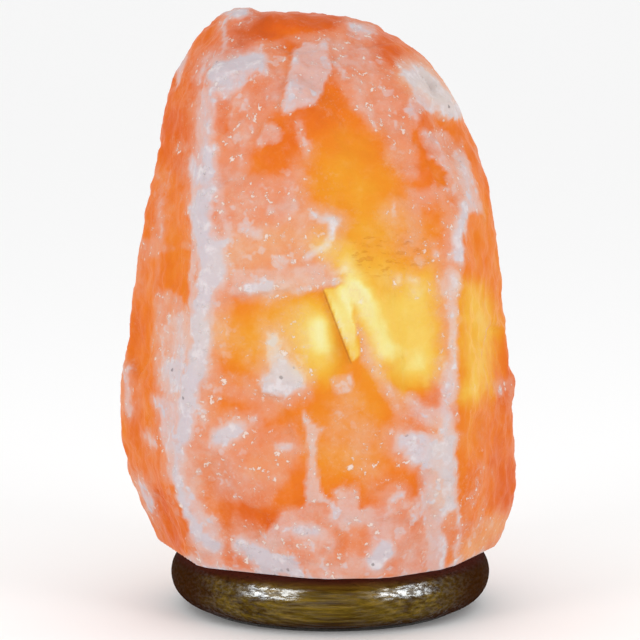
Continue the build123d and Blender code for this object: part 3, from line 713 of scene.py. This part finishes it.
salt_fixed = {
    "IOR": 1.54,
    "Specular IOR Level": 0.05,
    "Subsurface Weight": 0.15,
    "Subsurface Radius": (1.0, 0.35, 0.2),
    "Subsurface Scale": 0.003,
    "Emission Strength": 1.0,
}
salt, start, salt_inputs = new_finish("rock_salt", salt_fixed)
here = start.node("TexCoord", out="Object")


def value_of(name):
    """A value that the mesh keeps for each of its points."""
    return start.node("Attribute", attribute_name=name, out="Fac")


def cloud(size, detail=4.0, rough=0.55, at=None):
    """Noise from -0.5 to 0.5 with lumps of about this many metres."""
    at = at or here
    sockets = {"Vector": at, "Scale": 1 / size, "Detail": detail, "Roughness": rough}
    return at.node("TexNoise", sockets) - 0.5


# Noise tears the rims of the bruises, and they pass from clear by salmon and lilac to white. Each of the
# four has its own colours along the warmth of the bulb's light.
ragged = cloud(0.008, 4, 0.54)
crumbs = cloud(0.0020, 3, 0.6)
fleck_drifts = (cloud(0.03, 3) + 0.6 * value_of("frost")).step(0.05, 0.3)
flecks = cloud(0.0046, 2, 0.5).step(0.08, 0.18) * fleck_drifts
bruise_flow = value_of("frost") + 0.52 * ragged + 0.07 * crumbs + 0.2 * flecks
warmth = value_of("warmth") + 0.2 * cloud(0.020, 3) + 0.12 * ragged
clear_salt = warmth.ramp(
    (0.0, paint(196, 82, 30)),
    (0.1, paint(212, 92, 34)),
    (0.2, paint(232, 103, 32)),
    (0.32, paint(244, 128, 36)),
    (0.5, paint(247, 157, 42)),
    (0.66, paint(250, 185, 62)),
    (0.8, paint(252, 210, 96)),
    (0.92, paint(254, 236, 146)),
    (1.0, paint(255, 246, 178)),
)
salmon_salt = warmth.ramp(
    (0.0, paint(208, 116, 84)),
    (0.18, paint(233, 134, 98)),
    (0.32, paint(240, 156, 118)),
    (0.5, paint(245, 174, 116)),
    (0.7, paint(250, 200, 118)),
    (0.9, paint(254, 234, 160)),
)
lilac_salt = warmth.ramp(
    (0.0, paint(202, 160, 154)),
    (0.25, paint(232, 184, 173)),
    (0.45, paint(238, 196, 175)),
    (0.7, paint(250, 219, 165)),
    (1.0, paint(255, 245, 200)),
)
white_salt = warmth.ramp(
    (0.0, paint(200, 184, 188)),
    (0.3, paint(219, 206, 211)),
    (0.5, paint(227, 212, 206)),
    (0.75, paint(244, 228, 194)),
    (1.0, paint(255, 248, 215)),
)
salmon_mask = bruise_flow.step(0.06, 0.44)
lilac_mask = bruise_flow.step(0.38, 0.68)
white_mask = bruise_flow.step(0.64, 0.92)
colour = salmon_mask.mix(clear_salt, salmon_salt)
colour = lilac_mask.mix(colour, lilac_salt)
colour = white_mask.mix(colour, white_salt)
milky = (cloud(0.0055, 4, 0.6) + 0.4 * crumbs).step(-0.02, 0.2) * white_mask
colour = (0.75 * milky).mix(colour, paint(240, 230, 231))


def specks(size, share, seed):
    """Ragged grains in cells of this size, in this share of them."""
    stir = here.node("TexNoise", {"Vector": here, "Scale": 1.3 / size, "Detail": 2.0}, out="Color")
    shaken = here.moved((seed, seed, seed)).moved(stir.scaled(0.5 * size))
    cell = shaken.node("TexVoronoi", {"Vector": shaken, "Scale": 1 / size}, out="Distance")
    chosen = shaken.node("TexVoronoi", {"Vector": shaken, "Scale": 1 / size}, out="Color")
    picked = chosen.node("SeparateColor", {"Color": chosen}).step(1 - share, 1.02 - share)
    return picked * (1 - cell.step(0.2, 0.38))


# Crushed grains lie on it in drifts, with larger white specks between them, painted glints,
# and a few dark specks of clay.
drifts = (cloud(0.015, 4) + 0.3 * salmon_mask).step(-0.02, 0.24)
grains = cloud(0.0016, 3, 0.7).step(0.03, 0.11) * drifts * (1 - white_mask)
glint_drifts = (cloud(0.022, 3) + 0.35 * salmon_mask).step(0.12, 0.32)
glint_specks = cloud(0.0027, 3, 0.65).step(0.11, 0.16) * glint_drifts
clay = specks(0.0024, share=0.03, seed=2.9) * white_mask
colour = (0.16 * grains).mix(colour, paint(249, 200, 172))
colour = (0.8 * glint_specks * (1 - 0.6 * white_mask)).mix(colour, paint(252, 236, 226))
colour = (0.6 * clay).mix(colour, paint(96, 84, 80))

# The crack is a dark line of painted shade, with a painted shade on one side. Ripples and the drill's
# rings are fine grooves, and the ripples are painted darker as shade.
beside = value_of("beside_crack")
crack = (1 - abs(beside).step(0.3, 1.3)) * value_of("along_crack")
crack_shade = beside.step(-1.0, 0.6) * (1 - beside.step(0.6, 9.0)) * value_of("along_crack")
colour = (0.35 * crack_shade).mix(colour, paint(222, 136, 40))
colour = (0.5 * crack).mix(colour, paint(190, 112, 44))
rippled = start.node("Mapping", {"Vector": here, "Scale": (0.5, 0.5, 1.5)})
waves = cloud(0.0022, 2, 0.5, rippled).step(0.06, 0.2) * value_of("ripple")
colour = (0.4 * waves).mix(colour, paint(222, 134, 40))
ring_rate = 4200
drill_rings = (here.part("Z") * ring_rate + 2 * ragged).sine() * value_of("bored")

# The bulb's light is painted into the salt as its own glow.
# The light that falls on it from outside makes up the rest.
full_light = 0.93
box_and_sky = 1.42
own_light = 0.16 + 0.5 * warmth
glow = colour.scaled(own_light)
lit = colour.scaled((full_light - own_light) * (1 / box_and_sky))
roughness = 0.36 + 0.26 * white_mask + 0.12 * salmon_mask + 0.2 * crumbs
height = 0.0005 * cloud(0.0035, 3, 0.55) + 0.0001 * grains + 0.0004 * glint_specks - 0.0003 * crack
height = height - 0.0003 * waves + 0.00008 * drill_rings
connect(start, salt_inputs, Base_Color=lit, Emission_Color=glow, Roughness=roughness)
connect(start, salt_inputs, Normal=height.bump(0.8))
wear(crystal, salt)
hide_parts("salt_crystal")
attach(crystal, "lamp")

# --------------------------------------------------------- wooden base ----
# A disc sawn from a plank and turned round on a lathe, stained dark and dipped
# in glossy varnish. Its grain runs from side to side.
wood_fixed = {"Coat Roughness": 0.19, "Coat IOR": 1.45, "Specular IOR Level": 0.0}
wood, start, wood_inputs = new_finish("varnished_wood", wood_fixed)
here = start.node("TexCoord", out="Object")
along = start.node("Mapping", {"Vector": here, "Scale": (0.05, 0.7, 1.0), "Rotation": (0.05, 0.04, 0.05)})
fibres = cloud(0.0012, 5, 0.65, along)
bands = cloud(0.009, 2, 0.4, along)
pores = cloud(0.0006, 2, 0.5, along)
year_rings = (20 * bands + 3 * fibres).sine()
tone = 0.5 + 1.2 * fibres + 0.25 * bands + 0.07 * year_rings
stain_and_shade = tone.ramp(
    (0.2, paint(34, 20, 3)),
    (0.42, paint(66, 48, 8)),
    (0.58, paint(84, 67, 14)),
    (0.8, paint(122, 98, 30)),
)
# Painted shade darkens the wood at the foot and under the crystal's edge, where it is purple-brown, and
# towards the sides, where the end grain also soaks up the stain. The end grain takes little varnish.
wood_foot, wood_top = [corner.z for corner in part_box("wooden_base")]
foot_shade = 0.007
top_shade = 0.0065
open_rim = 0.002
end_reach = 0.056
level = here.part("Z")
sides = abs(here.part("X"))
under_crystal = level.step(wood_top - top_shade, wood_top - open_rim)
rim_and_foot_shade = under_crystal + (1 - level.step(wood_foot, wood_foot + foot_shade))
end_grain_and_shade = sides.step(0.03, end_reach)
darker = 0.8 * (rim_and_foot_shade + end_grain_and_shade)
stain_and_shade = darker.step(0.0, 0.9).mix(stain_and_shade, paint(46, 21, 3))
stain_and_shade = (0.9 * under_crystal).mix(stain_and_shade, paint(72, 36, 32))
pore_mask = pores.step(0.1, 0.2)
stain_and_shade = (0.5 * pore_mask).mix(stain_and_shade, paint(30, 16, 8))
grain_height = 0.0006 * fibres - 0.0002 * pore_mask
streaks = cloud(0.0010, 3, 0.62, along).step(-0.06, 0.1)
varnish = (0.1 + 0.75 * streaks) * (1 - 0.5 * pore_mask)
varnish = varnish * (1 - 0.92 * sides.step(0.038, end_reach)) * (1 - 0.6 * rim_and_foot_shade)
connect(start, wood_inputs, Base_Color=stain_and_shade, Coat_Weight=varnish, Roughness=0.26 + 0.2 * fibres)
connect(start, wood_inputs, Normal=grain_height.bump(0.8))
wear(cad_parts["wooden_base"], wood)

# ---------------------------------------------------------- felt under ----
# A ring of pressed wool felt, glued under the base so that it doesn't scratch
# the table. Its short fibres lie every way, with lint between them.
felt, start, felt_inputs = new_finish("wool_felt", {"Specular IOR Level": 0.1, "Sheen Weight": 0.4})
here = start.node("TexCoord", out="Object")
hairs = cloud(0.0011, 6, 0.75)
matted = cloud(0.006, 3, 0.6)
lint = cloud(0.0004, 2, 0.5).step(0.16, 0.24)
wool = (0.5 + 0.9 * hairs + 0.4 * matted).ramp((0.2, paint(22, 22, 22)), (0.8, paint(74, 71, 68)))
wool = (0.4 * lint).mix(wool, paint(130, 126, 120))
connect(start, felt_inputs, Base_Color=wool, Roughness=0.9 + 0.1 * hairs, Normal=(0.0006 * hairs).bump())
wear(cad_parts["felt_ring"], felt)


# ----------------------------------------------------- screws and steel ----
# Three countersunk wood screws pull the crystal down on the base, through nylon
# plugs. Screws, nipple and nut are steel with a thin bright coat of zinc.
def metal(name, dark, light, grain, rough, brushed=(1.0, 1.0, 1.0)):
    """Plated or drawn metal: cloudy, with fine marks in the direction it was worked in."""
    material, start, inputs = new_finish(name, {"Metallic": 1.0})
    spot = start.node("TexCoord", out="Object")
    stretched = start.node("Mapping", {"Vector": spot, "Scale": brushed})
    marks = cloud(grain, 4, 0.6, stretched)
    stains = cloud(0.006, 4, 0.6, spot)
    tint = (0.5 + 0.7 * marks + 1.1 * stains).ramp((0.2, dark), (0.8, light))
    connect(start, inputs, Base_Color=tint, Roughness=rough + 0.25 * marks + 0.25 * stains)
    connect(start, inputs, Normal=(0.00006 * marks).bump(0.6))
    return material


zinc = metal("zinc_steel", paint(150, 150, 146), paint(206, 207, 202), grain=0.0012, rough=0.34)
for node in ("base_screws", "threaded_nipple", "nipple_nut"):
    wear(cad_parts[node], zinc)


# --------------------------------------------- plugs and plastic housing ----
# The wall plugs are matt nylon. The lampholder's body and cap are glossy ivory
# plastic, moulded, with the faint swirl and sink marks that moulding leaves.
def moulded(name, pale, deep, rough, texture):
    """Moulded plastic: an even colour with a faint cloud in it, handled dull in places."""
    fixed = {"Specular IOR Level": 0.45, "Subsurface Weight": 0.08, "Subsurface Scale": 0.002}
    material, start, inputs = new_finish(name, fixed)
    spot = start.node("TexCoord", out="Object")
    swirl = start.node("TexNoise", {"Vector": spot, "Scale": 90.0, "Detail": 3.0, "Distortion": 1.2}) - 0.5
    skin = cloud(texture, 3, 0.5, spot)
    dust = (swirl + 0.4 * skin).step(0.1, 0.4)
    shade = (0.5 + 1.2 * swirl + 0.2 * skin).ramp((0.2, deep), (0.8, pale))
    connect(start, inputs, Base_Color=shade, Roughness=rough + 0.2 * dust + 0.1 * skin)
    connect(start, inputs, Normal=(0.00004 * skin + 0.0002 * swirl).bump(0.5))
    return material


nylon = moulded("nylon", paint(176, 176, 172), paint(158, 158, 154), rough=0.5, texture=0.0008)
wear(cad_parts["wall_plugs"], nylon)
ivory = moulded("ivory_plastic", paint(208, 203, 190), paint(192, 186, 170), rough=0.26, texture=0.0005)
for node in ("holder_shell", "holder_cap"):
    wear(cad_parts[node], ivory)

# ------------------------------------------------------- ceramic insert ----
# Pressed and fired steatite: off-white, matt and slightly grainy, with tiny
# brown specks. It holds the contacts and the two terminals.
steatite, start, steatite_inputs = new_finish("steatite", {"Specular IOR Level": 0.3})
here = start.node("TexCoord", out="Object")
grit = cloud(0.0006, 4, 0.7)
fired = cloud(0.007, 3)
iron = cloud(0.0011, 1).step(0.26, 0.3)
clay_body = (0.5 + 0.8 * grit + 0.8 * fired).ramp((0.2, paint(182, 175, 157)), (0.8, paint(206, 201, 187)))
clay_body = (0.5 * iron).mix(clay_body, paint(150, 120, 90))
connect(start, steatite_inputs, Base_Color=clay_body, Roughness=0.62 + 0.25 * grit)
connect(start, steatite_inputs, Normal=(0.0001 * grit).bump())
wear(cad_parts["contact_block"], steatite)

# -------------------------------------------------------- brass and clip ----
# Rolled brass makes the holder's screw shell, its tongue and screws and the
# bulb's cap. The clip is blued spring steel, bent from strip.
drawn_round = (1.0, 1.0, 6.0)
brass = metal(
    "brass", paint(150, 112, 52), paint(216, 178, 96),
    grain=0.0009, rough=0.3, brushed=drawn_round,
)
for node in ("screw_shell", "centre_contact", "terminal_screws", "bulb_cap"):
    wear(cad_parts[node], brass)
rolled_along = (0.2, 1.0, 1.0)
sprung = metal(
    "spring_steel", paint(104, 108, 116), paint(164, 168, 174),
    grain=0.0010, rough=0.36, brushed=rolled_along,
)
wear(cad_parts["spring_clip"], sprung)

# ------------------------------------------------------------------ bulb ----
# A small pear-shaped bulb of clear soda glass, blown and sealed on a glass stem
# that carries the filament. Black glass insulates its tip of soft solder.
glass, start, glass_inputs = new_finish("clear_glass", {"IOR": 1.5, "Transmission Weight": 1.0})
here = start.node("TexCoord", out="Object")
blown = cloud(0.009, 2, 0.4)
smears = cloud(0.012, 5, 0.65).step(0.1, 0.4)
faint = (0.5 + blown).ramp((0.2, paint(248, 250, 250)), (0.8, paint(255, 255, 255)))
connect(start, glass_inputs, Base_Color=faint, Roughness=0.01 + 0.06 * smears)
connect(start, glass_inputs, Normal=(0.0002 * blown).bump(0.4))
for node in ("bulb_glass", "glass_stem"):
    wear(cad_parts[node], glass)

black_glass, start, black_inputs = new_finish("black_glass", {"IOR": 1.6, "Coat Weight": 0.5})
here = start.node("TexCoord", out="Object")
poured = cloud(0.0022, 4)
vitrite = (0.5 + 1.2 * poured).ramp((0.2, paint(14, 14, 16)), (0.8, paint(42, 42, 46)))
connect(start, black_inputs, Base_Color=vitrite, Roughness=0.12 + 0.3 * poured)
connect(start, black_inputs, Normal=(0.0002 * poured).bump())
wear(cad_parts["cap_insulator"], black_glass)

solder = metal("solder", paint(128, 128, 130), paint(196, 196, 198), grain=0.0008, rough=0.42)
wear(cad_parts["cap_contact"], solder)
nickel = metal("nickel_wire", paint(130, 126, 118), paint(186, 182, 172), grain=0.0005, rough=0.3)
for node in ("lead_wires", "filament_supports"):
    wear(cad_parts[node], nickel)

# The filament is a fine coil of tungsten that glows from end to end, its turns brighter than the gaps.
tungsten, start, tungsten_inputs = new_finish("tungsten", {"Metallic": 1.0, "Emission Strength": 9.0})
here = start.node("TexCoord", out="Object")
turn_rate = 9000
turns = (here.part("X") * turn_rate).sine()
hot = (0.5 + cloud(0.006, 2) + 0.2 * turns).ramp((0.1, paint(255, 150, 60)), (0.7, paint(255, 214, 140)))
wire_grey = (0.5 + 0.5 * turns).ramp((0.0, paint(70, 66, 62)), (1.0, paint(140, 134, 128)))
connect(start, tungsten_inputs, Base_Color=wire_grey, Emission_Color=hot, Roughness=0.4 + 0.1 * turns)
wear(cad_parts["filament"], tungsten)

# ------------------------------------------------------------ surround ----
# A pale floor that runs to the horizon, an even white sky and two soft boxes to
# the left and right of the camera. Two tall windows show in the varnish alone.
floor_width = 80
floor_level = -0.0002
bpy.ops.mesh.primitive_plane_add(size=floor_width, location=(0, 0, floor_level))
floor = bpy.context.object
floor.name = "floor"
floor_fixed = {"Base Color": paint(246, 246, 246), "Roughness": 0.9}
floor_finish, _, _ = new_finish("pale_floor", floor_fixed)
wear(floor, floor_finish)
floor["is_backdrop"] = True

world = bpy.data.worlds.new("pale_sky")
world.use_nodes = True
world.node_tree.nodes["Background"].inputs["Color"].default_value = (1, 1, 1, 1)
world.node_tree.nodes["Background"].inputs["Strength"].default_value = 1.0
bpy.context.scene.world = world
bpy.context.scene.view_settings.view_transform = "Standard"

light_distance = 1.25


def area_light(name, direction, width, height, watts):
    """A rectangular light of this size in metres, in this direction from the lamp and turned to it."""
    light = bpy.data.lights.new(name, "AREA")
    light.shape = "RECTANGLE"
    light.size = width
    light.size_y = height
    light.energy = watts
    source = bpy.data.objects.new(name, light)
    source.location = direction * light_distance
    source.rotation_euler = direction.to_track_quat("Z", "Y").to_euler()
    bpy.context.scene.collection.objects.link(source)
    return source


for name, side in (("left_box", -1), ("right_box", 1)):
    area_light(name, Vector((side * 0.694, -0.672, 0.258)), width=0.42, height=0.2, watts=5)

varnished = bpy.data.collections.new("varnished")
varnished.objects.link(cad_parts["wooden_base"])
window_rise = math.radians(13)
for name, degrees in (("left_window", -43), ("right_window", 54)):
    turn = math.radians(degrees)
    level_reach = math.cos(window_rise)
    direction = Vector((math.sin(turn) * level_reach, -math.cos(turn) * level_reach, math.sin(window_rise)))
    window = area_light(name, direction, width=0.8, height=1.1, watts=85)
    window.data.color = (0.86, 0.94, 1.0)
    window.light_linking.receiver_collection = varnished
    window.visible_diffuse = False
    window.visible_camera = False

size = {"cad": [list(corner) for corner in cad_box], "visual": [list(corner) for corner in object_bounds()]}
